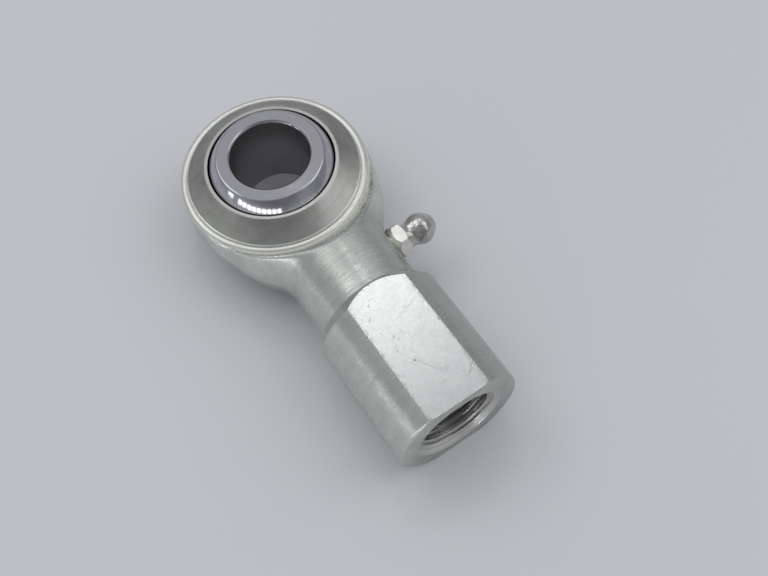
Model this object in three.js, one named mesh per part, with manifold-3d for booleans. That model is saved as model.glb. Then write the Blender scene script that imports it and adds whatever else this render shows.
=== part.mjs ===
// Female rod end bearing, 5/8 inch bore, 5/8-18 tapped shank, with a grease fitting.
// Millimetres, +Z up. The shank points along +X, the ball bore runs along Z and the
// grease fitting points along +Y. Everything is drawn about the centre of the ball and
// the finished group is then moved so that its box stands on the origin.
import * as THREE from 'three';
import { mergeVertices } from 'three/addons/utils/BufferGeometryUtils.js';
import Module from 'manifold-3d';

const wasm = await Module();
wasm.setup();

// ---- driving dimensions (inch standard sizes written in mm) ----
const INCH = 25.4;
const BORE_R = 0.625 * INCH / 2;          // ball bore
const BALL_R = 1.125 * INCH / 2;          // spherical surface of the ball
const BALL_W = 0.75 * INCH;               // ball width over its two faces
const HEAD_H = 0.562 * INCH;              // width of the head at the race
const HEAD_R = 1.5 * INCH / 2;            // largest radius of the head
const END_X = 2.5 * INCH;                 // ball centre to end of shank
const SHANK_R = 1.0 * INCH / 2;           // round part of the shank
const FLAT_Z = 0.875 * INCH / 2;          // half the size across the two wrench flats
const RACE_R = 14.56;                     // race, about 0.27 mm clear of the ball
const LAND_R = 13.45;                     // narrow flat land round the race opening
const CONE_R = 17.25;                     // outer edge of the coined cone face
const CONE_Z = 3.9;                       // height of the cone face at its outer edge
const LIP_R = 18.1;                       // rounded lip outside the cone
const LIP_Z = 3.87;                       // top of that lip
const NECK_R = 10.72;                     // neck between head and shank
const SWELL_R = 13.4;                     // half the width where the neck leaves the head
const SHOULDER_X = [35.5, 38.0];          // cone that joins neck to shank
const SHANK_CHAMFER = 0.5;
const BORE_CHAMFER = 0.3;
// thread, 5/8-18
const PITCH = INCH / 18;
const THREAD_MAJOR = 7.94;
const THREAD_MINOR = 7.2;
const THREAD_DEPTH = 31.5;
const DRILL_DEPTH = 32.6;
const MOUTH_R = 9.0;
// grease fitting, axis along +Y at FITTING_X
const FITTING_X = 26.2;
const HEX_AF = 0.25 * INCH;
const HEX_Y = [10.95, 13.7];              // seat and front of the hexagon
const HEX_TURN = 48;                      // degrees from +X to one corner
const STEM_R = 2.4;                       // screwed stem
const STEM_END_Y = 6.6;
const STEM_HOLE_R = 2.62;
const STEM_HOLE_END_Y = 5.6;
const NIPPLE_R = 3.27;                    // coupler head
const NIPPLE_Y = 17.4;
const TIP_Y = 20.3;
const CHAMBER_R = 1.55;                   // room for the check ball and its spring
const INLET_R = 0.75;                     // opening that the check ball closes
const SEAT_Y = [18.75, 19.5];
const CHECK_R = 1.15;                     // check ball
const CHECK_Y = 18.0;
const SPRING_R = 1.0;                     // coil radius to the wire centre
const WIRE_R = 0.19;
const SPRING_TURNS = 6;
const RETAINER_Y = [7.3, 8.1];            // staked ring below the spring
const RETAINER_HOLE_R = 0.6;
const GREASE_R = 1.1;                     // drilled grease way
const GROOVE_R = 15.3;                    // ring groove in the race that spreads the grease
const GROOVE_HALF = 1.3;
const ROUND = 56;                         // facets round the head, the race and the ball
const STEM_ROUND = 48;                    // facets round the neck and shank
const THREAD_ROUND = 16;                  // facets in one turn of thread

const deg = THREE.MathUtils.degToRad;

// ---- helpers ----
function solid(geometry) {
  const g = geometry.clone();
  g.deleteAttribute('normal');
  g.deleteAttribute('uv');
  const m = mergeVertices(g, 1e-4);
  const body = new wasm.Manifold(new wasm.Mesh({
    numProp: 3,
    vertProperties: new Float32Array(m.attributes.position.array),
    triVerts: new Uint32Array(m.index.array),
  }));
  if (body.volume() < 0) throw new Error('inside-out body');
  return body;
}

function geometryOf(body) {
  const m = body.getMesh();
  const g = new THREE.BufferGeometry();
  const n = m.numProp;
  const p = new Float32Array(m.numVert * 3);
  for (let i = 0; i < m.numVert; i++) for (let k = 0; k < 3; k++) p[3 * i + k] = m.vertProperties[n * i + k];
  g.setAttribute('position', new THREE.BufferAttribute(p, 3));
  g.setIndex(new THREE.BufferAttribute(new Uint32Array(m.triVerts), 1));
  g.computeVertexNormals();
  return g;
}

// A turned body. Each profile point is [radius, height]; the height runs along the axis.
function turned(points, axis = 'z', segments = ROUND) {
  const g = new THREE.LatheGeometry(points.map(([r, h]) => new THREE.Vector2(r, h)), segments);
  if (axis === 'z') g.rotateX(Math.PI / 2);
  if (axis === 'x') g.rotateZ(-Math.PI / 2);
  return solid(g);
}

const disc = (r, h0, h1, axis, segments) => turned([[0, h0], [r, h0], [r, h1], [0, h1]], axis, segments);

// Points [radius, height] on a circle of the lathe plane, from one height to another.
function arc(radius, h0, h1, steps) {
  const a0 = Math.asin(h0 / radius);
  const a1 = Math.asin(h1 / radius);
  return Array.from({ length: steps + 1 }, (_, i) => {
    const a = a0 + (a1 - a0) * i / steps;
    return [radius * Math.cos(a), radius * Math.sin(a)];
  });
}

// A body made of rings of points that all have the same number of points.
function rings(list, closedEnds = true) {
  const n = list[0].length;
  const pos = list.flat(2);
  const idx = [];
  for (let i = 0; i + 1 < list.length; i++) {
    for (let j = 0; j < n; j++) {
      const a = i * n + j, b = i * n + (j + 1) % n;
      idx.push(a, b, b + n, a, b + n, a + n);
    }
  }
  if (closedEnds) {
    const last = (list.length - 1) * n;
    for (let j = 1; j + 1 < n; j++) idx.push(0, j + 1, j, last, last + j, last + j + 1);
  }
  const g = new THREE.BufferGeometry();
  g.setAttribute('position', new THREE.BufferAttribute(new Float32Array(pos), 3));
  g.setIndex(idx);
  return g;
}

// Cutter for the inside thread: one helical strip whose profile repeats every pitch.
function threadCutter(x0, x1) {
  const N = THREAD_ROUND;
  const crest = [THREAD_MINOR, THREAD_MINOR, THREAD_MAJOR];
  const along = [0, 0.25, 0.625].map((f) => f * PITCH);
  const K = Math.ceil((x1 - x0) / PITCH) * N;
  const pos = [], idx = [], id = new Map();
  const V = (k, s) => {
    const key = k * 3 + s;
    if (!id.has(key)) {
      const a = 2 * Math.PI * (k % N) / N;
      id.set(key, pos.length / 3);
      pos.push(x0 + PITCH * k / N + along[s], crest[s] * Math.cos(a), crest[s] * Math.sin(a));
    }
    return id.get(key);
  };
  for (let k = 0; k < K; k++) {
    for (let s = 0; s < 3; s++) {
      const up = s < 2 ? [V(k, s + 1), V(k + 1, s + 1)] : [V(k + N, 0), V(k + 1 + N, 0)];
      idx.push(V(k, s), up[1], V(k + 1, s), V(k, s), up[0], up[1]);
    }
  }
  const loop = (k) => {
    const l = [0, 1, 2].map((s) => V(k, s));
    for (let i = N; i > 0; i--) l.push(V(k + i, 0));
    return l;
  };
  const cap = (l, x, flip) => {
    const c = pos.length / 3;
    pos.push(x, 0, 0);
    l.forEach((v, i) => {
      const w = l[(i + 1) % l.length];
      idx.push(...(flip ? [c, w, v] : [c, v, w]));
    });
  };
  cap(loop(0), x0 - PITCH, true);
  cap(loop(K), x0 + PITCH * (K / N + 2), false);
  for (let i = 0; i < idx.length; i += 3) [idx[i + 1], idx[i + 2]] = [idx[i + 2], idx[i + 1]];
  const g = new THREE.BufferGeometry();
  g.setAttribute('position', new THREE.BufferAttribute(new Float32Array(pos), 3));
  g.setIndex(idx);
  return solid(g);
}

// ---- rod end body: head, neck and shank in one piece ----
const half = HEAD_H / 2;
const rimSide = [[CONE_R, CONE_Z], [CONE_R + 0.3, CONE_Z - 0.25], [LIP_R - 0.3, LIP_Z - 0.08], [LIP_R, LIP_Z],
  [LIP_R + 0.42, LIP_Z - 0.3], [HEAD_R - 0.2, 2.4], [HEAD_R, 1.6]];
const head = turned([
  [0, -half], [LAND_R, -half], ...rimSide.map(([r, z]) => [r, -z]), [HEAD_R, 0],
  ...rimSide.slice().reverse(), [LAND_R, half], [0, half],
], 'z');

// The neck starts as a low rounded bar inside the head and becomes round; then the shank.
const flange = SHANK_R - SHANK_CHAMFER;
const stations = [                         // x, half width, half height, squareness (2 is round)
  [8, SWELL_R + 3.6, 2.6, 4], [13, SWELL_R + 2.1, 3.0, 4], [16, SWELL_R + 1.1, 3.3, 4], [18.4, SWELL_R, 3.9, 3.6],
  [19.8, SWELL_R - 1, 5.6, 3], [21, SWELL_R - 2, 7.4, 2.6], [22.3, NECK_R, 9, 2.3], [23.6, NECK_R, 10.2, 2.1],
  [25.2, NECK_R, NECK_R, 2],
  [SHOULDER_X[0], NECK_R, NECK_R, 2], [SHOULDER_X[1], SHANK_R, SHANK_R, 2],
  [END_X - SHANK_CHAMFER, SHANK_R, SHANK_R, 2], [END_X, flange, flange, 2],
];
const bow = (v, n) => Math.sign(v) * Math.abs(v) ** (2 / n);
const stem = solid(rings(stations.map(([x, b, c, n]) => Array.from({ length: STEM_ROUND }, (_, j) => {
  const a = 2 * Math.PI * j / STEM_ROUND;
  return [x, b * bow(Math.cos(a), n), c * bow(Math.sin(a), n)];
}))));

// Two wrench flats, level with each other, cut only into the shank.
const flatBox = new THREE.BoxGeometry(END_X, 4 * SHANK_R, SHANK_R);
const upperCut = solid(flatBox.clone().translate(END_X, 0, FLAT_Z + SHANK_R / 2));
const lowerCut = solid(flatBox.clone().translate(END_X, 0, -FLAT_Z - SHANK_R / 2));

const opening = Math.sqrt(RACE_R ** 2 - (half + 1) ** 2);
const race = turned([[0, -half - 1], [opening, -half - 1], ...arc(RACE_R, -half - 1, half + 1, 12).slice(1, -1),
  [opening, half + 1], [0, half + 1]], 'z');
const groove = disc(GROOVE_R, -GROOVE_HALF, GROOVE_HALF, 'z', ROUND);

const threadStart = END_X - THREAD_DEPTH;
const drillEnd = END_X - DRILL_DEPTH;
const drill = turned([[0, drillEnd - 4], [THREAD_MINOR - 0.01, drillEnd], [THREAD_MINOR - 0.01, threadStart + 1],
  [0, threadStart + 1]], 'x', THREAD_ROUND);
const thread = threadCutter(threadStart - PITCH, END_X + PITCH)
  .intersect(disc(THREAD_MAJOR + 1, threadStart, END_X + 1, 'x', 40));
const mouth = turned([[0, END_X - 1.5], [MOUTH_R - 1.5, END_X - 1.5], [MOUTH_R + 1, END_X + 1], [0, END_X + 1]], 'x', 40);

const stemHole = disc(STEM_HOLE_R, STEM_HOLE_END_Y, NECK_R + 3, 'y', 28).translate([FITTING_X, 0, 0]);
const spotFace = disc(4.1, HEX_Y[0] - 0.3, NECK_R + 3, 'y', 28).translate([FITTING_X, 0, 0]);
const crossHole = turned([[0, -GREASE_R], [GREASE_R, -GREASE_R], [GREASE_R, STEM_HOLE_END_Y + 1],
  [0, STEM_HOLE_END_Y + 1]], 'y', 16).translate([FITTING_X, 0, 0]);
const axialHole = disc(GREASE_R, RACE_R - 1, FITTING_X, 'x', 16);

const rodEndBody = head.add(stem)
  .subtract(upperCut).subtract(lowerCut)
  .subtract(race).subtract(groove)
  .subtract(drill).subtract(thread).subtract(mouth)
  .subtract(stemHole).subtract(spotFace).subtract(crossHole).subtract(axialHole);

// ---- ball ----
const faceR = Math.sqrt(BALL_R ** 2 - (BALL_W / 2) ** 2);
const hw = BALL_W / 2;
const ball = turned([
  [BORE_R, -hw + BORE_CHAMFER], [BORE_R + BORE_CHAMFER, -hw], [faceR, -hw],
  ...arc(BALL_R, -hw, hw, 14).slice(1, -1),
  [faceR, hw], [BORE_R + BORE_CHAMFER, hw], [BORE_R, hw - BORE_CHAMFER], [BORE_R, -hw + BORE_CHAMFER],
], 'z');

// ---- grease fitting ----
const hexCorner = HEX_AF / Math.sqrt(3);
const hexLength = HEX_Y[1] - HEX_Y[0];
const hexPrism = solid(new THREE.CylinderGeometry(hexCorner, hexCorner, hexLength, 6)
  .rotateY(deg(90 - HEX_TURN)).translate(0, (HEX_Y[0] + HEX_Y[1]) / 2, 0));
const hexTrim = turned([
  [0, HEX_Y[0]], [HEX_AF / 2 - 0.05, HEX_Y[0]], [hexCorner + 0.1, HEX_Y[0] + 0.45],
  [hexCorner + 0.1, HEX_Y[1] - 0.45], [HEX_AF / 2 - 0.05, HEX_Y[1]], [0, HEX_Y[1]],
], 'y', 36);
const nipple = turned([
  [0, HEX_Y[1] - 1], [2.75, HEX_Y[1] - 1], [2.75, HEX_Y[1] + 0.1], [2.5, HEX_Y[1] + 0.6], [2.5, HEX_Y[1] + 1.3],
  [2.9, NIPPLE_Y - 1.5], [3.2, NIPPLE_Y - 0.8], [NIPPLE_R, NIPPLE_Y - 0.1], [3.1, NIPPLE_Y + 0.8],
  [2.6, NIPPLE_Y + 1.7], [1.9, NIPPLE_Y + 2.5], [1.45, TIP_Y], [0, TIP_Y],
], 'y', 36);
const screw = turned([[0, STEM_END_Y], [STEM_R - 0.4, STEM_END_Y], [STEM_R, STEM_END_Y + 0.4],
  [STEM_R, HEX_Y[0] + 0.5], [0, HEX_Y[0] + 0.5]], 'y', 28);
const chamber = turned([[0, STEM_END_Y - 1], [CHAMBER_R, STEM_END_Y - 1], [CHAMBER_R, SEAT_Y[0]],
  [INLET_R, SEAT_Y[1]], [INLET_R, TIP_Y + 1], [0, TIP_Y + 1]], 'y', 24);
const greaseFittingBody = hexPrism.intersect(hexTrim).add(nipple).add(screw).subtract(chamber)
  .translate([FITTING_X, 0, 0]);

const checkBall = solid(new THREE.SphereGeometry(CHECK_R, 20, 14)).translate([FITTING_X, CHECK_Y, 0]);

const retainer = turned([
  [RETAINER_HOLE_R, RETAINER_Y[0]], [CHAMBER_R - 0.1, RETAINER_Y[0]], [CHAMBER_R - 0.1, RETAINER_Y[1]],
  [RETAINER_HOLE_R, RETAINER_Y[1]], [RETAINER_HOLE_R, RETAINER_Y[0]],
], 'y', 24).translate([FITTING_X, 0, 0]);

// Compression spring between the retainer and the check ball, with closed end turns.
function spring(y0, y1) {
  const perTurn = 16, sides = 8, dead = 0.9;
  const total = SPRING_TURNS * perTurn;
  const rise = (t) => {                         // t counts turns
    const free = SPRING_TURNS - 2 * dead;
    const low = 2.3 * WIRE_R * Math.min(t, dead);
    const high = 2.3 * WIRE_R * Math.max(0, t - (SPRING_TURNS - dead));
    const mid = Math.min(Math.max(t - dead, 0), free) / free;
    return low + high + mid * (y1 - y0 - 2 * WIRE_R - 2 * 2.3 * WIRE_R * dead);
  };
  const list = [];
  for (let i = 0; i <= total; i++) {
    const t = i / perTurn, a = 2 * Math.PI * t;
    const out = [Math.cos(a), 0, Math.sin(a)];
    list.push(Array.from({ length: sides }, (_, j) => {
      const b = 2 * Math.PI * j / sides;
      const r = SPRING_R + WIRE_R * Math.cos(b);
      return [r * out[0], y0 + WIRE_R + rise(t) + WIRE_R * Math.sin(b), r * out[2]];
    }));
  }
  return solid(rings(list));
}
const checkSpring = spring(RETAINER_Y[1] + 0.12, CHECK_Y - CHECK_R * 0.55 - 0.12)
  .translate([FITTING_X, 0, 0]);

// ---- assembly ----
const group = new THREE.Group();
group.name = 'rod_end_bearing';
function add(name, body, color, metalness, roughness) {
  const mesh = new THREE.Mesh(geometryOf(body), new THREE.MeshStandardMaterial({ color, metalness, roughness }));
  mesh.name = name;
  group.add(mesh);
}
add('rod_end_body', rodEndBody, 0xa8aeaa, 0.9, 0.4);
add('ball', ball, 0xc4c6cc, 1.0, 0.18);
add('grease_fitting_body', greaseFittingBody, 0xb6b8b2, 0.9, 0.35);
add('check_ball', checkBall, 0xd2d4d8, 1.0, 0.12);
add('check_spring', checkSpring, 0x9a9c9e, 1.0, 0.3);
add('spring_retainer', retainer, 0xa8a79c, 0.9, 0.4);

// Stand the whole part on the origin, centred under its box.
const box = new THREE.Box3().setFromObject(group, true);
const mid = box.getCenter(new THREE.Vector3());
group.children.forEach((m) => m.geometry.translate(-mid.x, -mid.y, -box.min.z));

export default group;
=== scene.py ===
# A 5/8 inch female rod end with a grease fitting, lying on a pale table under soft light.
# Sizes are in millimetres about the centre of the ball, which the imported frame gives:
# +X along the shank, +Y the way the grease fitting points, +Z along the bore.
import math

import bmesh
import bpy
import numpy as np
from mathutils import Matrix, Vector


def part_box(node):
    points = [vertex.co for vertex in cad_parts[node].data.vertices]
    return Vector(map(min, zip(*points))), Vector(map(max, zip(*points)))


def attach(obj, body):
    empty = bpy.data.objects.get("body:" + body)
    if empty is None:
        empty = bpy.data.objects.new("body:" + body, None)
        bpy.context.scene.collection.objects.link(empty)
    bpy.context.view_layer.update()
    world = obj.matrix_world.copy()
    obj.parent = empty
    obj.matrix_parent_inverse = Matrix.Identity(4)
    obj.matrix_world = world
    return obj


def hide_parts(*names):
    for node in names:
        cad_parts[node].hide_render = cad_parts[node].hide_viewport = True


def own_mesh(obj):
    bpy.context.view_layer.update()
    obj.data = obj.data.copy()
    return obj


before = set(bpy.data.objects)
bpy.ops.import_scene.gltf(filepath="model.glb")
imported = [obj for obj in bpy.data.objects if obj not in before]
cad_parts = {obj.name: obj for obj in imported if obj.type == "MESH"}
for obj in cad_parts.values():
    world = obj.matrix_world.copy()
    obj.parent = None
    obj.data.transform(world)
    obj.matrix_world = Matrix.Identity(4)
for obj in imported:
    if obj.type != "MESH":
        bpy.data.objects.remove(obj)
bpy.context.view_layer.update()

MM = 0.001
ball_low, ball_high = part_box("ball")
CENTRE = (ball_low + ball_high) / 2                     # ball centre in the row frame
body_low, body_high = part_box("rod_end_body")
fitting_low, fitting_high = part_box("grease_fitting_body")

# ---- sizes ----
BORE_R = 7.9375
BALL_R = 14.2875
BALL_HALF = (ball_high.z - ball_low.z) / 2 / MM         # half the ball's width
HEAD_R = (CENTRE.x - body_low.x) / MM
HEAD_HALF = 7.1374                                      # half the head's width at the race
END_X = (body_high.x - CENTRE.x) / MM
FLAT_Z = (body_high.z - CENTRE.z) / MM
SHANK_R = 12.7
NECK_R = 10.72
SHOULDER = (35.5, 38.0)
RACE_R = 14.54
LAND_R = 13.45                                          # flat land round the race opening
CONE_R, CONE_Z = 17.25, 3.95                            # outer edge of the coined cone
LIP_R, LIP_Z, LIP_ROUND = 18.1, 2.97, 0.9               # centre and radius of the rounded lip
SHOULDER_R, SHOULDER_END, SHOULDER_ROUND = 14.2, 22.0, 7.5   # swell where the neck meets the head
THREAD_MAJOR, THREAD_MINOR, PITCH = 7.94, 7.2, 25.4 / 18
THREAD_DEPTH, DRILL_DEPTH, MOUTH_R = 31.5, 32.6, 8.85
FITTING_X = ((fitting_low.x + fitting_high.x) / 2 - CENTRE.x) / MM
HEX_AF, HEX_Y, HEX_TURN = 6.35, (10.65, 13.7), 56
NIPPLE_R, NIPPLE_Y = 3.27, 17.4
TIP_Y = (fitting_high.y - CENTRE.y) / MM
CHAMBER_R, INLET_R, SEAT_Y = 1.55, 0.75, (18.75, 19.5)
CHECK_R, CHECK_Y = 1.15, 18.0
RETAINER_Y = (7.3, 8.1)
SPRING_R, WIRE_R, SPRING_TURNS = 1.0, 0.19, 6
SHANK_CHAMFER, BALL_CHAMFER = 0.75, 0.36
GROOVE_R, GROOVE_HALF = 15.3, 1.3                       # grease groove in the race
SCREW_R, SCREW_END, SCREW_HOLE_R = 2.4, 6.6, 2.62       # the fitting's stem and the hole for it
SKIN_STEP = 0.42                                        # grid of the forged blank
EDGE_WOBBLE = 0.026                                     # wear along the edges of the flats


# ---- mesh helpers ----
def obj_from(name, verts, faces):
    """A mesh object from points in millimetres about the ball centre."""
    mesh = bpy.data.meshes.new(name)
    pts = np.asarray(verts, float) * MM + np.array(CENTRE)
    mesh.from_pydata(pts.tolist(), [], [list(map(int, f)) for f in faces])
    mesh.validate()
    ob = bpy.data.objects.new(name, mesh)
    bpy.context.scene.collection.objects.link(ob)
    return ob


AXES = {                                                # (radius, angle, height) to x, y, z
    "z": lambda r, a, h: (r * np.cos(a), r * np.sin(a), h),
    "x": lambda r, a, h: (h, r * np.cos(a), r * np.sin(a)),
    "y": lambda r, a, h: (r * np.sin(a), h, r * np.cos(a)),
}


def turned(name, profile, axis="z", segments=160, origin=(0, 0, 0)):
    """A turned body. The profile is [radius, height] points that start and end on the
    axis, or a loop that goes back to its first point."""
    loop = profile[0] == profile[-1]
    points = profile[:-1] if loop else profile
    verts, rows = [], []
    for r, h in points:
        if r < 1e-9:
            rows.append([len(verts)] * segments)
            verts.append(AXES[axis](0.0, 0.0, h))
        else:
            rows.append(list(range(len(verts), len(verts) + segments)))
            verts += [AXES[axis](r, 2 * math.pi * i / segments, h) for i in range(segments)]
    faces = []
    count = len(rows)
    for k in range(count if loop else count - 1):
        a, b = rows[k], rows[(k + 1) % count]
        for i in range(segments):
            j = (i + 1) % segments
            quad = [a[i], a[j], b[j], b[i]]
            face = [v for n, v in enumerate(quad) if v != quad[n - 1]]
            if len(face) > 2:
                faces.append(face)
    ob = obj_from(name, np.array(verts) + np.array(origin), faces)
    face_out(ob)
    return ob


def face_out(ob):
    """Turns the faces outward."""
    bm = bmesh.new()
    bm.from_mesh(ob.data)
    bmesh.ops.recalc_face_normals(bm, faces=bm.faces)
    if bm.calc_volume(signed=True) < 0:
        bmesh.ops.reverse_faces(bm, faces=bm.faces)
    bm.to_mesh(ob.data)
    bm.free()


def combine(target, cutter, operation):
    mod = target.modifiers.new(operation, "BOOLEAN")
    mod.operation, mod.object, mod.solver = operation, cutter, "MANIFOLD"
    bpy.context.view_layer.update()
    depsgraph = bpy.context.evaluated_depsgraph_get()
    mesh = bpy.data.meshes.new_from_object(target.evaluated_get(depsgraph))
    target.modifiers.clear()
    old, target.data = target.data, mesh
    bpy.data.meshes.remove(old)
    bpy.data.objects.remove(cutter)
    if len(mesh.polygons) == 0:
        raise RuntimeError("boolean left nothing of " + target.name)


def box_at(name, low, high):
    """A plain block used only as a cutter."""
    xs, ys, zs = zip(low, high)
    corners = [(x, y, z) for x in xs for y in ys for z in zs]
    ob = obj_from(name, corners, [(0, 1, 3, 2), (4, 6, 7, 5), (0, 4, 5, 1),
                                  (2, 3, 7, 6), (0, 2, 6, 4), (1, 5, 7, 3)])
    face_out(ob)
    return ob


def ragged_at(name, x0, x1, half, low, high, wobble, turn, steps=70):
    """A long block along x whose under side rises and falls, for a worn edge."""
    verts = []
    for i in range(steps + 1):
        lift = wobble * (math.sin(1.9 * i) + 0.8 * math.sin(4.7 * i + half)
                         + 0.6 * math.sin(0.37 * i + low))
        for y, z in ((-half, low + lift), (half, low + lift), (half, high), (-half, high)):
            verts.append(tuple(turn @ Vector((x0 + (x1 - x0) * i / steps, y, z))))
    faces = [(3, 2, 1, 0), tuple(4 * steps + k for k in range(4))]
    faces += [(4 * i + k, 4 * i + (k + 1) % 4, 4 * i + 4 + (k + 1) % 4, 4 * i + 4 + k)
              for i in range(steps) for k in range(4)]
    ob = obj_from(name, verts, faces)
    face_out(ob)
    return ob


def arc(centre, radius, a0, a1, steps):
    """Points on a circle of the profile plane, angles in degrees from the radius axis."""
    angles = np.radians(np.linspace(a0, a1, steps + 1))
    return [(centre[0] + radius * math.cos(a), centre[1] + radius * math.sin(a)) for a in angles]


def finish_piece(ob, body, node, material, planes=(), angle=34):
    """Smooth shading, but plain on the true planes, which are given as (axis, distance)."""
    ob.data.set_sharp_from_angle(angle=math.radians(angle))
    for p in ob.data.polygons:
        place = (p.center - CENTRE) / MM
        p.use_smooth = not any(abs(abs(place[axis]) - d) < 0.003 and abs(p.normal[axis]) > 0.9999
                               for axis, d in planes)
    ob.data.materials.clear()
    ob.data.materials.append(material)
    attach(ob, body)
    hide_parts(node)
    return ob


# ---- housing: a forged blank with soft joins, then the machined and coined faces ----
def smooth_min(a, b, k):
    h = np.clip(0.5 + 0.5 * (b - a) / k, 0, 1)
    return b * (1 - h) + a * h - k * h * (1 - h)


def smooth_max(a, b, k):
    return -smooth_min(-a, -b, k)


def blank(p):
    """Signed distance to the forged blank: head, neck and shank, negative inside."""
    x, y, z = p[..., 0], p[..., 1], p[..., 2]
    out, high, q = np.hypot(x, y), np.abs(z), np.hypot(y, z)
    head = np.maximum(out + high ** 2 / 90 - HEAD_R, high - 4.6)
    hub = np.maximum(np.maximum(high - (5.2 + 0.85 * (17.0 - out)), out - 16.8), high - 8.0)
    ramp = np.clip((x - SHOULDER[0] + 0.4) / (SHOULDER[1] - SHOULDER[0]), 0, 1)
    neck = np.maximum(q - NECK_R - 0.03 - (SHANK_R - NECK_R) * ramp, x - END_X - 2)
    swell = rounded(q - SHOULDER_R, x - SHOULDER_END, SHOULDER_ROUND)
    stem = np.maximum(smooth_min(neck, swell, 3.0), 10 - x)
    relief = 0.573 * (high - 3.4 - 1.43 * (out - 18.8))
    joined = smooth_max(smooth_min(head, stem, np.maximum(8.8 - 0.5 * high, 3.0)), relief, 0.9)
    return np.minimum(np.minimum(head, joined), hub)


def rounded(a, b, radius):
    """Corner of two half spaces, with the edge rounded off."""
    u, v = np.maximum(a + radius, 0), np.maximum(b + radius, 0)
    return np.hypot(u, v) - radius + np.minimum(np.maximum(a, b) + radius, 0)


def skin(name, f, low, high, step):
    """Closed mesh of f = 0: one point in each grid cell that the surface crosses, moved
    onto the surface, and one face round each grid edge that it crosses."""
    axes = [np.arange(l, h + step, step) for l, h in zip(low, high)]
    grid = np.stack(np.meshgrid(*axes, indexing="ij"), -1)
    inside = f(grid) < 0
    cell = [slice(None, -1), slice(1, None)]
    corners = [inside[a, b, c] for a in cell for b in cell for c in cell]
    total = np.sum(corners, 0)
    mixed = (total > 0) & (total < 8)
    number = np.full(mixed.shape, -1)
    number[mixed] = np.arange(mixed.sum())
    points = grid[:-1, :-1, :-1][mixed] + step / 2
    faces = []
    for axis in range(3):
        u, v = [(1, 2), (2, 0), (0, 1)][axis]
        first = np.take(inside, range(inside.shape[axis] - 1), axis)
        second = np.take(inside, range(1, inside.shape[axis]), axis)
        for outward in (True, False):
            hit = np.argwhere((first & ~second) if outward else (~first & second))
            ring = []
            for du, dv in ((-1, -1), (0, -1), (0, 0), (-1, 0)):
                c = hit.copy()
                c[:, u] += du
                c[:, v] += dv
                ring.append(number[c[:, 0], c[:, 1], c[:, 2]])
            quad = np.stack(ring if outward else ring[::-1], 1)
            faces.append(quad)
    faces = np.concatenate(faces)

    def settle(p):
        for _ in range(3):
            d = f(p)
            e = 0.01                                    # half a step of the slope, in mm
            g = np.stack([f(p + s) - f(p - s) for s in e * np.eye(3)], -1) / (2 * e)
            g2 = np.maximum((g * g).sum(-1), 0.2)
            p = p - np.clip(d / g2, -step, step)[:, None] * g
        return p

    points = settle(points)
    near = np.concatenate([faces[:, [0, 1]], faces[:, [1, 2]], faces[:, [2, 3]], faces[:, [3, 0]]])
    near = np.concatenate([near, near[:, ::-1]])
    for _ in range(3):                                  # evens out the spacing
        mean = np.zeros_like(points)
        np.add.at(mean, near[:, 0], points[near[:, 1]])
        mean /= np.bincount(near[:, 0], minlength=len(points))[:, None]
        points = settle(points + 0.6 * (mean - points))
    ob = obj_from(name, points, faces)
    face_out(ob)
    return ob


def thread_cutter(turns, around=40):
    """One helical strip that repeats each pitch, closed at both ends on the axis."""
    profile = [(THREAD_MINOR, 0.0), (THREAD_MINOR, 0.26), (THREAD_MINOR + 0.06, 0.30),
               (THREAD_MAJOR - 0.05, 0.60), (THREAD_MAJOR, 0.625), (THREAD_MAJOR, 0.67),
               (THREAD_MAJOR - 0.05, 0.695), (THREAD_MINOR + 0.06, 0.96)]
    steps, rows = turns * around, len(profile)
    start = END_X - THREAD_DEPTH - PITCH
    verts, index = [], {}

    def at(k, s):
        if (k, s) not in index:
            a = 2 * math.pi * (k % around) / around
            r, part = profile[s]
            index[k, s] = len(verts)
            verts.append((start + PITCH * (k / around + part), r * math.cos(a), r * math.sin(a)))
        return index[k, s]

    faces = []
    for k in range(steps):
        for s in range(rows):
            if s + 1 < rows:
                up = at(k, s + 1), at(k + 1, s + 1)
            else:
                up = at(k + around, 0), at(k + 1 + around, 0)
            faces.append((at(k, s), at(k + 1, s), up[1], up[0]))
    for k, x in ((0, start - PITCH), (steps, start + PITCH * (turns + 2))):
        rim = [at(k, s) for s in range(rows)] + [at(k + i, 0) for i in range(around, 0, -1)]
        verts.append((x, 0, 0))
        faces += [(len(verts) - 1, a, b) for a, b in zip(rim, rim[1:] + rim[:1])]
    ob = obj_from("thread", verts, faces)
    face_out(ob)
    return ob


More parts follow.
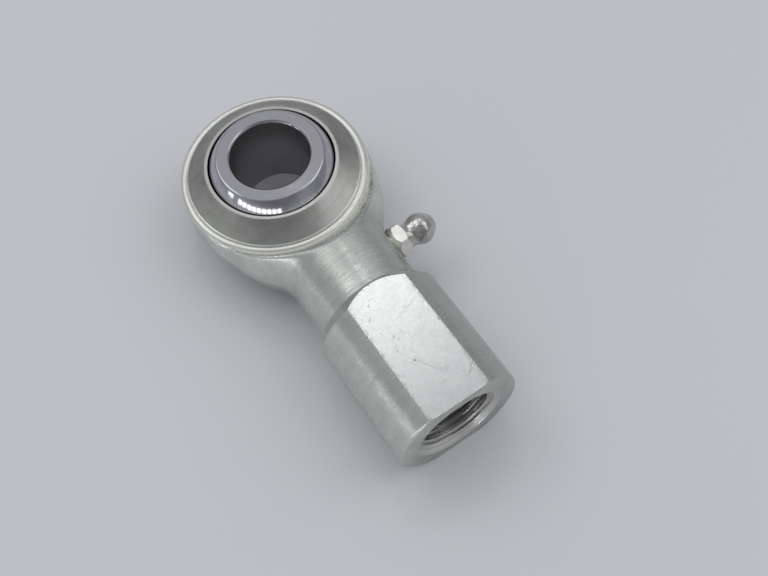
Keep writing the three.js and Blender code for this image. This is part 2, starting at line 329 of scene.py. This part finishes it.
def make_housing():
    ob = skin("housing", blank, (-20, -20, -13.6), (END_X + 3, 20, 13.6), SKIN_STEP)
    # Turns the neck, the shoulder and the shank, and ends the shank square with a broken edge.
    rise = math.degrees(math.atan2(SHOULDER[1] - SHOULDER[0], SHANK_R - NECK_R))
    lathe = [(0, -40), (40, -40), (40, 23), (NECK_R + 0.05, 24.5), (NECK_R, 28)]
    lathe += arc((NECK_R + 0.6, SHOULDER[0] - 0.2), 0.6, 180, 90 + rise, 5)
    lathe += arc((SHANK_R - 0.4, SHOULDER[1] + 0.1), 0.4, rise - 90, 0, 5)
    lathe += arc((SHANK_R - SHANK_CHAMFER, END_X - SHANK_CHAMFER), SHANK_CHAMFER, 2, 78, 8)
    lathe += [(0, END_X - 0.02)]
    combine(ob, turned("lathe", lathe, "x", 224), "INTERSECT")
    # The coining tool leaves the land, the cone, the fine step and the rounded lip.
    tool = [(0, 20), (0, HEAD_HALF), (LAND_R - 0.08, HEAD_HALF), (LAND_R + 0.06, HEAD_HALF - 0.07)]
    tool += [(CONE_R, CONE_Z), (CONE_R + 0.22, CONE_Z - 0.05)]
    tool += arc((LIP_R, LIP_Z), LIP_ROUND, 128, 22, 22)
    tool += [(19.0, 3.28), (19.06, 3.34), (19.13, 3.52), (19.3, 3.965), (25.8, 13.26)]
    tool += [(25.8, 20), (0, 20)]
    for sign in (1, -1):
        combine(ob, turned("coin", [(r, sign * h) for r, h in tool], "z", 224), "DIFFERENCE")
    # Wrench flats, with their long edges slightly broken.
    for sign in (1, -1):
        z = sorted((sign * FLAT_Z, sign * 20))
        combine(ob, box_at("flat", (30, -20, z[0]), (80, 20, z[1])), "DIFFERENCE")
    edge = math.asin(math.sqrt(SHANK_R ** 2 - FLAT_Z ** 2) / SHANK_R) / 2
    reach = SHANK_R * math.cos(edge) - 0.03
    for k, quarter in enumerate((edge, -edge, math.pi + edge, math.pi - edge)):
        turn = Matrix.Rotation(quarter, 3, "X")
        combine(ob, ragged_at("edge", 37.9, 66 + 0.4 * k, 3, reach, reach + 5,
                             EDGE_WOBBLE, turn), "DIFFERENCE")
    # Race for the ball, with its grease groove.
    top = HEAD_HALF + 1
    open_r = math.sqrt(RACE_R ** 2 - HEAD_HALF ** 2)
    lat = math.degrees(math.asin(HEAD_HALF / RACE_R))
    race = [(0, -top), (open_r + 0.45, -top), (open_r + 0.12, -HEAD_HALF)]
    race += arc((0, 0), RACE_R, -lat + 0.6, lat - 0.6, 30)
    race += [(open_r + 0.12, HEAD_HALF), (open_r + 0.45, top), (0, top)]
    combine(ob, turned("race", race, "z", 224), "DIFFERENCE")
    groove = [(0, -GROOVE_HALF), (GROOVE_R, -GROOVE_HALF), (GROOVE_R, GROOVE_HALF), (0, GROOVE_HALF)]
    combine(ob, turned("groove", groove, "z", 160), "DIFFERENCE")
    # Tapped hole.
    deep, first = END_X - DRILL_DEPTH, END_X - THREAD_DEPTH
    drill_r = THREAD_MINOR - 0.01
    drill = [(0, deep - 4), (drill_r, deep), (drill_r, first + 1), (0, first + 1)]
    combine(ob, turned("drill", drill, "x", 40), "DIFFERENCE")
    thread = thread_cutter(int(THREAD_DEPTH / PITCH) + 3)
    span = [(0, first), (11, first), (11, END_X + 1.5), (0, END_X + 1.5)]
    combine(thread, turned("span", span, "x", 64), "INTERSECT")
    combine(ob, thread, "DIFFERENCE")
    mouth = [(0, END_X - 1.5), (MOUTH_R - 1.7, END_X - 1.5), (MOUTH_R, END_X),
             (MOUTH_R + 0.5, END_X + 0.9), (0, END_X + 0.9)]
    combine(ob, turned("mouth", mouth, "x", 128), "DIFFERENCE")
    # Seat and hole of the grease fitting.
    at = (FITTING_X, 0, 0)
    seat = HEX_Y[0] - 0.05
    spot = [(0, seat), (4.0, seat), (4.3, 15), (0, 15)]
    combine(ob, turned("spot", spot, "y", 64, at), "DIFFERENCE")
    hole = [(0, 5.6), (SCREW_HOLE_R, 5.6), (SCREW_HOLE_R, 14), (0, 14)]
    combine(ob, turned("hole", hole, "y", 48, at), "DIFFERENCE")
    return ob


# ---- ball ----
def make_ball():
    lat = math.degrees(math.asin(BALL_HALF / BALL_R))
    face_r = math.sqrt(BALL_R ** 2 - BALL_HALF ** 2)
    c = BALL_CHAMFER
    half = [(BORE_R, 0), (BORE_R, BALL_HALF - c - 0.08), (BORE_R + 0.03, BALL_HALF - c),
            (BORE_R + c, BALL_HALF - 0.03), (BORE_R + c + 0.07, BALL_HALF),
            (face_r - 0.22, BALL_HALF), (face_r - 0.06, BALL_HALF - 0.03)]
    band = arc((0, 0), BALL_R, lat - 0.45, 0, 26)
    upper = half + band
    lower = [(r, -h) for r, h in reversed(upper[1:-1])]
    return turned("ball_and_bore", upper + lower + [upper[0]], "z", 224)


# ---- grease fitting and its check valve ----
def make_fitting():
    at = (FITTING_X, 0, 0)
    corner = HEX_AF / math.sqrt(3)
    ring = [math.radians(-HEX_TURN + 60 * i) for i in range(6)]
    verts = [(FITTING_X + corner * math.cos(a), y, -corner * math.sin(a)) for y in HEX_Y for a in ring]
    faces = [tuple(range(6)), tuple(range(11, 5, -1))]
    faces += [(i, (i + 1) % 6, (i + 1) % 6 + 6, i + 6) for i in range(6)]
    ob = obj_from("fitting", verts, faces)
    face_out(ob)
    flat, y0, y1 = HEX_AF / 2, HEX_Y[0], HEX_Y[1]
    trim = [(0, y0), (flat - 0.4, y0), (corner + 0.1, y0 + 1.25), (corner + 0.1, y1 - 0.6),
            (flat - 0.2, y1), (0, y1)]
    combine(ob, turned("trim", trim, "y", 128, at), "INTERSECT")
    knob = [(0, y1 - 1), (2.75, y1 - 1), (2.75, y1 + 0.1), (2.62, y1 + 0.42), (2.5, y1 + 0.75),
            (2.5, y1 + 1.15)]
    knob += [(r, NIPPLE_Y + h) for r, h in (
        (2.62, -1.95), (2.86, -1.5), (3.1, -0.95), (3.22, -0.5), (NIPPLE_R, 0), (3.22, 0.4),
        (3.06, 0.85), (2.78, 1.35), (2.4, 1.85), (2.0, 2.3), (1.7, 2.6))]
    knob += [(1.5, TIP_Y - 0.12), (1.35, TIP_Y), (0, TIP_Y)]
    combine(ob, turned("knob", knob, "y", 96, at), "UNION")
    screw = [(0, SCREW_END), (2.0, SCREW_END), (SCREW_R, 7.0), (SCREW_R, y0 + 0.5), (0, y0 + 0.5)]
    combine(ob, turned("screw", screw, "y", 64, at), "UNION")
    chamber = [(0, 5.6), (CHAMBER_R, 5.6), (CHAMBER_R, SEAT_Y[0]), (INLET_R, SEAT_Y[1]),
               (INLET_R, TIP_Y - 0.15), (INLET_R + 0.35, TIP_Y + 0.2), (0, TIP_Y + 0.2)]
    combine(ob, turned("chamber", chamber, "y", 48, at), "DIFFERENCE")
    return ob


def make_check_ball():
    profile = [(0, -CHECK_R)] + arc((0, 0), CHECK_R, -84, 84, 24) + [(0, CHECK_R)]
    return turned("check", profile, "y", 48, (FITTING_X, CHECK_Y, 0))


def make_retainer():
    y0, y1, r0, r1 = *RETAINER_Y, 0.6, CHAMBER_R - 0.1
    c = 0.08
    loop = [(r0, y0 + c), (r0 + c, y0), (r1 - c, y0), (r1, y0 + c),
            (r1, y1 - c), (r1 - c, y1), (r0 + c, y1), (r0, y1 - c)]
    return turned("staked_ring", loop + [loop[0]], "y", 48, (FITTING_X, 0, 0))


def make_spring():
    """Compression spring with one closed turn at each end."""
    per_turn, sides, dead, close = 40, 14, 0.9, 2.3 * WIRE_R
    y0 = RETAINER_Y[1] + 0.12
    y1 = CHECK_Y - CHECK_R * 0.55 - 0.12
    t = np.arange(SPRING_TURNS * per_turn + 1) / per_turn
    free = SPRING_TURNS - 2 * dead
    rise = close * np.minimum(t, dead) + close * np.maximum(0, t - (SPRING_TURNS - dead))
    rise += np.clip(t - dead, 0, free) / free * (y1 - y0 - 2 * WIRE_R - 2 * close * dead)
    a = 2 * math.pi * t[:, None]
    b = 2 * math.pi * np.arange(sides)[None, :] / sides
    r = SPRING_R + WIRE_R * np.cos(b) + 0 * a
    y = y0 + WIRE_R + rise[:, None] + WIRE_R * np.sin(b) + 0 * a
    points = np.stack([FITTING_X + r * np.cos(a), y, r * np.sin(a)], -1).reshape(-1, 3)
    faces = []
    for i in range(len(t) - 1):
        for j in range(sides):
            k = (j + 1) % sides
            faces.append((i * sides + j, i * sides + k, (i + 1) * sides + k, (i + 1) * sides + j))
    last = (len(t) - 1) * sides
    faces += [tuple(range(sides - 1, -1, -1)), tuple(range(last, last + sides))]
    ob = obj_from("coil", points, faces)
    face_out(ob)
    return ob


# ---- materials ----
class Nodes:
    """Short way to write a node tree."""

    def __init__(self, name):
        self.mat = bpy.data.materials.new(name)
        self.mat.use_nodes = True
        self.tree = self.mat.node_tree
        self.tree.nodes.clear()
        self.out = self.add("ShaderNodeOutputMaterial")
        self.surface = self.add("ShaderNodeBsdfPrincipled")
        self.link(self.surface.outputs[0], self.out.inputs[0])

    def add(self, kind, **settings):
        n = self.tree.nodes.new(kind)
        for key, value in settings.items():
            setattr(n, key, value)
        return n

    def link(self, a, b):
        self.tree.links.new(a, b)

    def feed(self, socket, value):
        if hasattr(value, "default_value") or hasattr(value, "is_output"):
            self.link(value, socket)
        else:
            socket.default_value = value

    def math(self, operation, *values, clamp=False):
        n = self.add("ShaderNodeMath", operation=operation, use_clamp=clamp)
        for socket, value in zip(n.inputs, values):
            self.feed(socket, value)
        return n.outputs[0]

    def times(self, a, b):
        return self.math("MULTIPLY", a, b)

    def radius(self, a, b):
        """Distance from the axis that two coordinates are counted from."""
        return self.math("SQRT", self.math("ADD", self.times(a, a), self.times(b, b)))

    def noise(self, vector, scale, detail=3.0, rough=0.5, distortion=0.0):
        n = self.add("ShaderNodeTexNoise")
        self.link(vector, n.inputs["Vector"])
        for key, value in (("Scale", scale), ("Detail", detail), ("Roughness", rough),
                           ("Distortion", distortion)):
            n.inputs[key].default_value = value
        return n.outputs["Fac"]

    def ramp(self, value, *stops):
        """Maps a number through straight pieces: stops are (from, to) pairs."""
        n = self.add("ShaderNodeValToRGB")
        self.link(value, n.inputs[0])
        while len(n.color_ramp.elements) < len(stops):
            n.color_ramp.elements.new(0.5)
        for e, (pos, level) in zip(n.color_ramp.elements, stops):
            e.position = pos
            e.color = (level, level, level, 1) if not hasattr(level, "__len__") else (*level, 1)
        return n.outputs[0]

    def mix(self, fac, a, b):
        n = self.add("ShaderNodeMix", data_type="RGBA")
        self.feed(n.inputs[0], fac)
        for socket, value in ((n.inputs[6], a), (n.inputs[7], b)):
            if isinstance(value, tuple):
                socket.default_value = (*value, 1)
            else:
                self.link(value, socket)
        return n.outputs[2]

    def level(self, fac, a, b):
        n = self.add("ShaderNodeMix", data_type="FLOAT")
        self.feed(n.inputs[0], fac)
        self.feed(n.inputs[2], a)
        self.feed(n.inputs[3], b)
        return n.outputs[0]

    def place(self):
        """Position in mm about the ball centre: the vector and its x, y, z."""
        tc = self.add("ShaderNodeTexCoord")
        n = self.add("ShaderNodeMapping")
        self.link(tc.outputs["Object"], n.inputs["Vector"])
        n.inputs["Location"].default_value = [-c / MM for c in CENTRE]
        n.inputs["Scale"].default_value = (1 / MM,) * 3
        s = self.add("ShaderNodeSeparateXYZ")
        self.link(n.outputs[0], s.inputs[0])
        return (n.outputs[0], *s.outputs)

    def vector(self, x, y, z):
        n = self.add("ShaderNodeCombineXYZ")
        for socket, value in zip(n.inputs, (x, y, z)):
            self.feed(socket, value)
        return n.outputs[0]

    def bump(self, height, strength, distance, normal=None):
        n = self.add("ShaderNodeBump")
        n.inputs["Strength"].default_value = strength
        n.inputs["Distance"].default_value = distance
        self.link(height, n.inputs["Height"])
        if normal is not None:
            self.link(normal, n.inputs["Normal"])
        return n.outputs[0]

    def step(self, value, edge, width):
        """0 below edge and 1 above it, over the given width."""
        n = self.add("ShaderNodeMapRange", interpolation_type="SMOOTHSTEP")
        self.link(value, n.inputs[0])
        n.inputs[1].default_value = edge - width / 2
        n.inputs[2].default_value = edge + width / 2
        return n.outputs[0]

    def below(self, value, edge, width):
        """1 below edge and 0 above it, over the given width."""
        return self.math("SUBTRACT", 1.0, self.step(value, edge, width))

    def near_line(self, x, y, start, end, width):
        """1 close to the straight line between two points, 0 away from it."""
        dx, dy = end[0] - start[0], end[1] - start[1]
        x, y = self.math("SUBTRACT", x, start[0]), self.math("SUBTRACT", y, start[1])
        along = self.math("ADD", self.times(x, dx), self.times(y, dy))
        along = self.math("DIVIDE", along, dx * dx + dy * dy, clamp=True)
        x = self.math("SUBTRACT", x, self.times(along, dx))
        y = self.math("SUBTRACT", y, self.times(along, dy))
        far = self.radius(x, y)
        return self.below(far, width, width)

    def done(self, **inputs):
        for key, value in inputs.items():
            if isinstance(value, tuple):
                value = (*value, 1)
            self.feed(self.surface.inputs[key.replace("_", " ")], value)
        return self.mat


SCRATCHES = (                                           # from (x, y) to (x, y), and width
    ((42.9, 5.2), (44.6, -0.2), 0.05), ((47.8, 3.9), (49.0, 2.2), 0.06),
    ((41.6, -3.6), (42.3, -4.4), 0.09), ((52.5, -2.0), (56.8, 0.6), 0.04),
    ((60.2, 4.4), (58.9, 5.6), 0.07))


def zinc_material():
    """Clear zinc over turned steel: turning marks, fine grain and nicks on the flats, a cone with
    rings, a brighter lip, and painted shade on the +Y side of the stem, on the underside and
    deep in the tapped hole."""
    n = Nodes("zinc_plated_steel")
    p, x, y, z = n.place()
    about_x = n.radius(y, z)
    about_z = n.radius(x, y)
    height = n.math("ABSOLUTE", z)
    on_flat = n.times(n.step(height, FLAT_Z - 0.02, 0.02), n.step(x, 34.0, 0.5))
    on_cone = n.times(n.step(height, CONE_Z - 0.1, 0.1), n.below(about_z, CONE_R + 0.02, 0.05))
    on_land = n.times(on_cone, n.below(about_z, LAND_R + 0.05, 0.1))
    on_lip = n.times(n.step(about_z, CONE_R + 0.35, 0.1), n.below(about_z, 19.5, 0.3))
    on_lip = n.times(on_lip, n.step(height, 3.1, 0.4))
    on_stem = n.times(n.step(x, 20.5, 4.0), n.math("SUBTRACT", 1.0, on_flat))
    # inside: the deep part of the tapped hole, painted darker as shade
    inside = n.times(n.below(about_x, MOUTH_R + 0.02, 0.06), n.step(x, 25.0, 1.0))
    inside = n.times(inside, n.below(x, END_X - 5.0, 5.0))
    in_mouth = n.times(n.below(about_x, MOUTH_R + 0.01, 0.04), n.step(x, END_X - 4.0, 3.0))
    # Turning marks run round the shank; the angle only wavers them.
    waver = n.noise(p, 0.25, 2.0)
    fine = n.noise(n.vector(n.times(x, 4.0), n.times(waver, 0.8), n.times(z, 0.05)), 1.0, 3.0, 0.7)
    pass_marks = n.math("SINE", n.math("MULTIPLY_ADD", x, 18.0, n.times(waver, 6.0)))
    fine = n.math("MULTIPLY_ADD", pass_marks, 0.07, fine)
    broad = n.noise(n.vector(n.times(x, 3.2), n.times(y, 0.5), n.times(z, 0.5)), 1.0, 2.0)
    rings = n.noise(n.vector(n.times(about_z, 6.0), n.times(z, 0.1), n.times(waver, 0.7)),
                    1.0, 3.0, 0.6)
    bored = n.noise(n.vector(n.times(about_x, 5.0), waver, 0.0), 1.0, 3.0, 0.6)
    soft = n.noise(p, 0.8, 2.0)
    cloud = n.noise(p, 0.35, 3.0)
    speck = n.noise(p, 7.0, 4.0, 0.7)
    skin_grain = n.noise(p, 4.0, 4.0, 0.7)
    pits = n.ramp(n.noise(p, 1.9, 4.0, 0.6, 0.4), (0.32, 1.0), (0.375, 0.0), (1.0, 0.0))
    # Plating colour: slightly green grey, warmer and darker in patches.
    base = n.mix(n.ramp(cloud, (0.3, 0.0), (0.72, 1.0)), (0.60, 0.62, 0.58), (0.71, 0.73, 0.69))
    streaks = n.ramp(fine, (0.35, 0.0), (0.75, 1.0))
    base = n.mix(n.times(streaks, n.times(on_stem, 0.45)), base, (0.44, 0.46, 0.42))
    flat = n.mix(n.ramp(speck, (0.35, 0.0), (0.7, 1.0)), (0.62, 0.63, 0.62), (0.46, 0.47, 0.46))
    flat = n.mix(n.ramp(cloud, (0.35, 0.0), (0.7, 0.3)), flat, (0.46, 0.48, 0.47))
    near_edge = n.step(n.math("ABSOLUTE", y), 5.72, 0.3)
    nicks = n.times(near_edge, n.ramp(n.noise(p, 2.8, 3.0, 0.6), (0.53, 0.0), (0.57, 1.0)))
    marks = n.math("MAXIMUM", pits, n.times(nicks, 0.6))
    for start, end, width in SCRATCHES:
        marks = n.math("MAXIMUM", marks, n.times(n.near_line(x, y, start, end, width), 0.7))
    flat = n.mix(marks, flat, (0.25, 0.26, 0.25))
    # painted shade: the neck and shank are painted darker on their +Y side, the side the grease
    # fitting points to
    base = n.mix(n.times(on_stem, n.level(n.step(y, 7.0, 6.0), 0.0, 0.5)), base, (0.34, 0.36, 0.33))
    # painted shade: the plating is painted darker towards the underside, where shadow falls
    low = n.below(z, -1.5, 9.0)
    base = n.mix(n.times(low, 0.5), base, (0.32, 0.34, 0.30))
    base = n.mix(n.times(on_lip, 0.65), base, (0.86, 0.86, 0.81))
    base = n.mix(on_flat, base, flat)
    cone = n.mix(n.ramp(rings, (0.35, 0.0), (0.7, 1.0)), (0.44, 0.445, 0.43), (0.37, 0.37, 0.355))
    cone = n.mix(n.ramp(cloud, (0.4, 0.0), (0.65, 0.8)), cone, (0.34, 0.35, 0.31))
    base = n.mix(on_cone, base, cone)
    base = n.mix(on_land, base, (0.50, 0.50, 0.48))
    mouth = n.mix(n.ramp(bored, (0.35, 0.0), (0.65, 1.0)), (0.86, 0.86, 0.83), (0.50, 0.50, 0.48))
    base = n.mix(in_mouth, base, mouth)
    # painted shade deep in the tapped hole
    base = n.mix(inside, base, (0.46, 0.47, 0.45))
    rough = n.level(n.ramp(soft, (0.3, 0.0), (0.7, 1.0)), 0.25, 0.31)
    rough = n.level(on_flat, n.level(on_lip, rough, 0.36), n.level(speck, 0.20, 0.26))
    rough = n.level(on_cone, rough, n.level(rings, 0.26, 0.40))
    normal = n.bump(n.times(fine, on_stem), 1.0, 0.00009)
    normal = n.bump(n.times(broad, on_stem), 0.35, 0.00006, normal)
    normal = n.bump(n.times(rings, on_cone), 0.3, 0.00003, normal)
    normal = n.bump(n.times(skin_grain, on_flat), 0.55, 0.00003, normal)
    return n.done(Base_Color=base, Metallic=1.0, Roughness=rough, Normal=normal)


def ball_material():
    """Ground ball with a bright chromed band, satin faces and a dark honed bore."""
    n = Nodes("hard_chromed_ball")
    p, x, y, z = n.place()
    about_z = n.radius(x, y)
    height = n.math("ABSOLUTE", z)
    on_face = n.step(height, BALL_HALF - 0.04, 0.04)
    in_bore = n.below(about_z, BORE_R + 0.02, 0.02)
    turning = n.noise(n.vector(n.times(about_z, 7.0), n.times(z, 0.2), 0.0), 1.0, 3.0, 0.6)
    hone = n.noise(n.vector(n.times(z, 3.0), n.times(x, 0.12), n.times(y, 0.12)), 1.0, 3.0)
    cloud = n.noise(p, 0.5, 3.0)
    fine = n.noise(p, 9.0, 3.0, 0.6)
    face = n.mix(turning, (0.47, 0.47, 0.49), (0.41, 0.41, 0.43))
    band = n.mix(n.ramp(cloud, (0.35, 0.0), (0.7, 1.0)), (0.54, 0.54, 0.58), (0.45, 0.45, 0.49))
    bore = n.mix(hone, (0.34, 0.34, 0.345), (0.46, 0.46, 0.46))
    base = n.mix(in_bore, n.mix(on_face, band, face), bore)
    rough = n.level(on_face, n.level(fine, 0.09, 0.14), n.level(turning, 0.06, 0.10))
    rough = n.level(in_bore, rough, n.level(hone, 0.28, 0.42))
    normal = n.bump(n.times(turning, on_face), 0.2, 0.00002)
    normal = n.bump(n.times(hone, in_bore), 0.3, 0.00002, normal)
    return n.done(Base_Color=base, Metallic=1.0, Roughness=rough, Normal=normal)


def fitting_material():
    n = Nodes("plated_fitting")
    p, x, y, z = n.place()
    lathe = n.noise(n.vector(n.times(y, 6.0), n.times(x, 0.1), n.times(z, 0.1)), 1.0, 3.0)
    cloud = n.noise(p, 0.9, 3.0)
    dents = n.noise(p, 0.85, 1.0)
    fine = n.noise(p, 8.0, 3.0, 0.6)
    base = n.mix(n.ramp(cloud, (0.3, 0.0), (0.7, 1.0)), (0.62, 0.62, 0.59), (0.48, 0.48, 0.46))
    base = n.mix(n.ramp(fine, (0.55, 0.0), (0.75, 0.5)), base, (0.36, 0.36, 0.33))
    on_nipple = n.step(y, HEX_Y[1] + 0.05, 0.05)
    hexagon = n.mix(n.ramp(cloud, (0.35, 0.0), (0.6, 1.0)), (0.92, 0.92, 0.87), (0.80, 0.80, 0.74))
    base = n.mix(on_nipple, hexagon, base)
    rough = n.level(on_nipple, n.level(fine, 0.30, 0.42), n.level(fine, 0.14, 0.24))
    normal = n.bump(lathe, 0.25, 0.00003)
    normal = n.bump(n.times(dents, on_nipple), 0.5, 0.0005, normal)
    normal = n.bump(fine, 0.2, 0.00002, normal)
    return n.done(Base_Color=base, Metallic=1.0, Roughness=rough, Normal=normal)


def bright_material():
    n = Nodes("bright_steel")
    p = n.place()[0]
    fine = n.noise(p, 6.0, 3.0)
    return n.done(Base_Color=n.mix(fine, (0.78, 0.78, 0.80), (0.66, 0.66, 0.69)), Metallic=1.0,
                  Roughness=n.level(fine, 0.08, 0.18))


def wire_material():
    n = Nodes("spring_wire")
    p = n.place()[0]
    fine = n.noise(p, 5.0, 4.0)
    return n.done(Base_Color=n.mix(fine, (0.42, 0.42, 0.43), (0.30, 0.30, 0.31)), Metallic=1.0,
                  Roughness=n.level(fine, 0.22, 0.40), Normal=n.bump(fine, 0.2, 0.00002))


def table_material():
    n = Nodes("pale_table")
    tc = n.add("ShaderNodeTexCoord")
    cloud = n.noise(tc.outputs["Object"], 6.0, 4.0)
    fine = n.noise(tc.outputs["Object"], 900.0, 3.0)
    base = n.mix(cloud, (0.83, 0.835, 0.86), (0.87, 0.875, 0.90))
    normal = n.bump(fine, 0.05, 0.0001)
    return n.done(Base_Color=base, Roughness=n.level(fine, 0.42, 0.55), Normal=normal)


# ---- build ----
zinc, chrome, plated = zinc_material(), ball_material(), fitting_material()
finish_piece(make_housing(), "housing", "rod_end_body", zinc,
             [(0, END_X - 0.02), (2, FLAT_Z), (2, HEAD_HALF)], 36)
finish_piece(make_ball(), "swivel_ball", "ball", chrome, [(2, BALL_HALF)])
finish_piece(make_fitting(), "housing", "grease_fitting_body", plated,
             [(1, HEX_Y[1])])
finish_piece(make_retainer(), "housing", "spring_retainer", plated)
finish_piece(make_check_ball(), "check", "check_ball", bright_material())
coil = finish_piece(make_spring(), "housing", "check_spring", wire_material())


# ---- table ----
TABLE_HALF = 1.2                                        # metres


def make_table():
    bm = bmesh.new()
    corners = [bm.verts.new((sx * TABLE_HALF, sy * TABLE_HALF, 0.0))
               for sx, sy in ((-1, -1), (1, -1), (1, 1), (-1, 1))]
    bm.faces.new(corners)
    mesh = bpy.data.meshes.new("table")
    bm.to_mesh(mesh)
    bm.free()
    ob = bpy.data.objects.new("table", mesh)
    bpy.context.scene.collection.objects.link(ob)
    mesh.materials.append(table_material())


make_table()


# ---- lights ----
def direction(azimuth, elevation):
    """Unit vector. Azimuth is counted in degrees from +X towards +Y."""
    a, e = math.radians(azimuth), math.radians(elevation)
    return Vector((math.cos(a) * math.cos(e), math.sin(a) * math.cos(e), math.sin(e)))


def soft_light(name, azimuth, elevation, distance, width, height, power):
    """A soft box that faces the part. Distance and size are in metres, power in watts."""
    where = direction(azimuth, elevation) * distance
    data = bpy.data.lights.new(name, "AREA")
    data.shape, data.size, data.size_y = "RECTANGLE", width, height
    data.energy = power
    ob = bpy.data.objects.new(name, data)
    ob.location = where
    ob.rotation_euler = where.to_track_quat("Z", "Y").to_euler()
    bpy.context.scene.collection.objects.link(ob)


soft_light("overhead", 153, 62.5, 1.2, 0.15, 0.15, 0.35)
for i in range(9):                                      # a row of window panes
    soft_light("pane_%d" % i, -86 + 7.5 * i, 7, 2.4, 0.22, 0.30, 0.66)
soft_light("far_side", 68, 46, 1.4, 1.0, 1.0, 2.0)
soft_light("ceiling", 212, 54, 1.2, 0.70, 0.40, 0.9)
soft_light("low_window", -103, 6, 2.4, 0.40, 0.28, 0.60)


ROOM_LEVEL, OVERHEAD_GAIN = 0.40, 0.62 / 0.36


def make_room():
    """Light from all round, brighter overhead, darker towards the camera and the far side."""
    world = bpy.data.worlds.new("room")
    world.use_nodes = True
    tree = world.node_tree
    tc = tree.nodes.new("ShaderNodeTexCoord")

    def towards(azimuth, elevation, start, end, dim):
        """1 away from a direction and dim close to it, between two cosines."""
        dot = tree.nodes.new("ShaderNodeVectorMath")
        dot.operation = "DOT_PRODUCT"
        dot.inputs[1].default_value = direction(azimuth, elevation)
        tree.links.new(tc.outputs["Generated"], dot.inputs[0])
        fade = tree.nodes.new("ShaderNodeMapRange")
        fade.interpolation_type = "SMOOTHSTEP"
        for socket, value in zip(fade.inputs[1:5], (start, end, 1.0, dim)):
            socket.default_value = value
        tree.links.new(dot.outputs["Value"], fade.inputs[0])
        return fade.outputs[0]

    level = towards(0, 90, 0.35, 0.95, OVERHEAD_GAIN)
    for dim in (towards(-28, 45, 0.6, 1.0, 0.45), towards(75, 0, 0.5, 1.0, 0.8)):
        both = tree.nodes.new("ShaderNodeMath")
        both.operation = "MULTIPLY"
        tree.links.new(level, both.inputs[0])
        tree.links.new(dim, both.inputs[1])
        level = both.outputs[0]
    scale = tree.nodes.new("ShaderNodeMath")
    scale.operation = "MULTIPLY"
    scale.inputs[1].default_value = ROOM_LEVEL
    tree.links.new(level, scale.inputs[0])
    background = tree.nodes["Background"]
    background.inputs[0].default_value = (0.95, 0.96, 1.0, 1)
    tree.links.new(scale.outputs[0], background.inputs[1])
    bpy.context.scene.world = world


make_room()

# ---- camera ----
AIM = (33.1, 4.2, 0.0)                                  # point looked at, from the ball centre
AZIMUTH, ELEVATION, ROLL = -28.06, 62.6, -6.52          # degrees; azimuth from +X towards +Y
DISTANCE, LENS = 188.85, 46.26


def make_camera():
    back = direction(AZIMUTH, ELEVATION)
    right = Vector((0, 0, 1)).cross(back).normalized()
    up = back.cross(right)
    turn = Matrix((right, up, back)).transposed() @ Matrix.Rotation(math.radians(ROLL), 3, "Z")
    data = bpy.data.cameras.new("camera")
    data.lens, data.sensor_width = LENS, 36
    data.clip_start, data.clip_end = 0.005, 20
    ob = bpy.data.objects.new("camera", data)
    ob.matrix_world = Matrix.Translation(CENTRE + (Vector(AIM) + back * DISTANCE) * MM) @ turn.to_4x4()
    bpy.context.scene.collection.objects.link(ob)
    bpy.context.scene.camera = ob


make_camera()
bpy.context.scene.view_settings.view_transform = "Standard"

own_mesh(coil)
